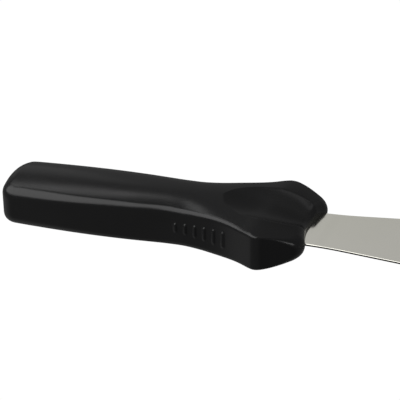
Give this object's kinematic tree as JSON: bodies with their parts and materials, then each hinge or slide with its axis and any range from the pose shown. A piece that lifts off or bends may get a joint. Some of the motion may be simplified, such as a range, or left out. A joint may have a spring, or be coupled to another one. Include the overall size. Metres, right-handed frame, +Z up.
{
  "type": "ink knife",
  "caption": "Flat steel ink knife with a flared square-ended blade and a waisted black moulded handle with thumb recesses.",
  "frame": {"origin": "under the middle of the knife's length, on its centre line, at the level of its lowest point when it lies flat", "axes": "+X along the knife to the blade's tip, +Y across the knife, +Z up through the blade's broad face"},
  "size_m": [0.199, 0.0506, 0.019],
  "materials": {
    "moulded_plastic": "satin moulded, very fine grain",
    "blade_steel": "finely ground, lightly polished"
  },
  "bodies": {
    "root": {"handle": "moulded_plastic", "blade": "blade_steel"}
  },
  "joints": []
}
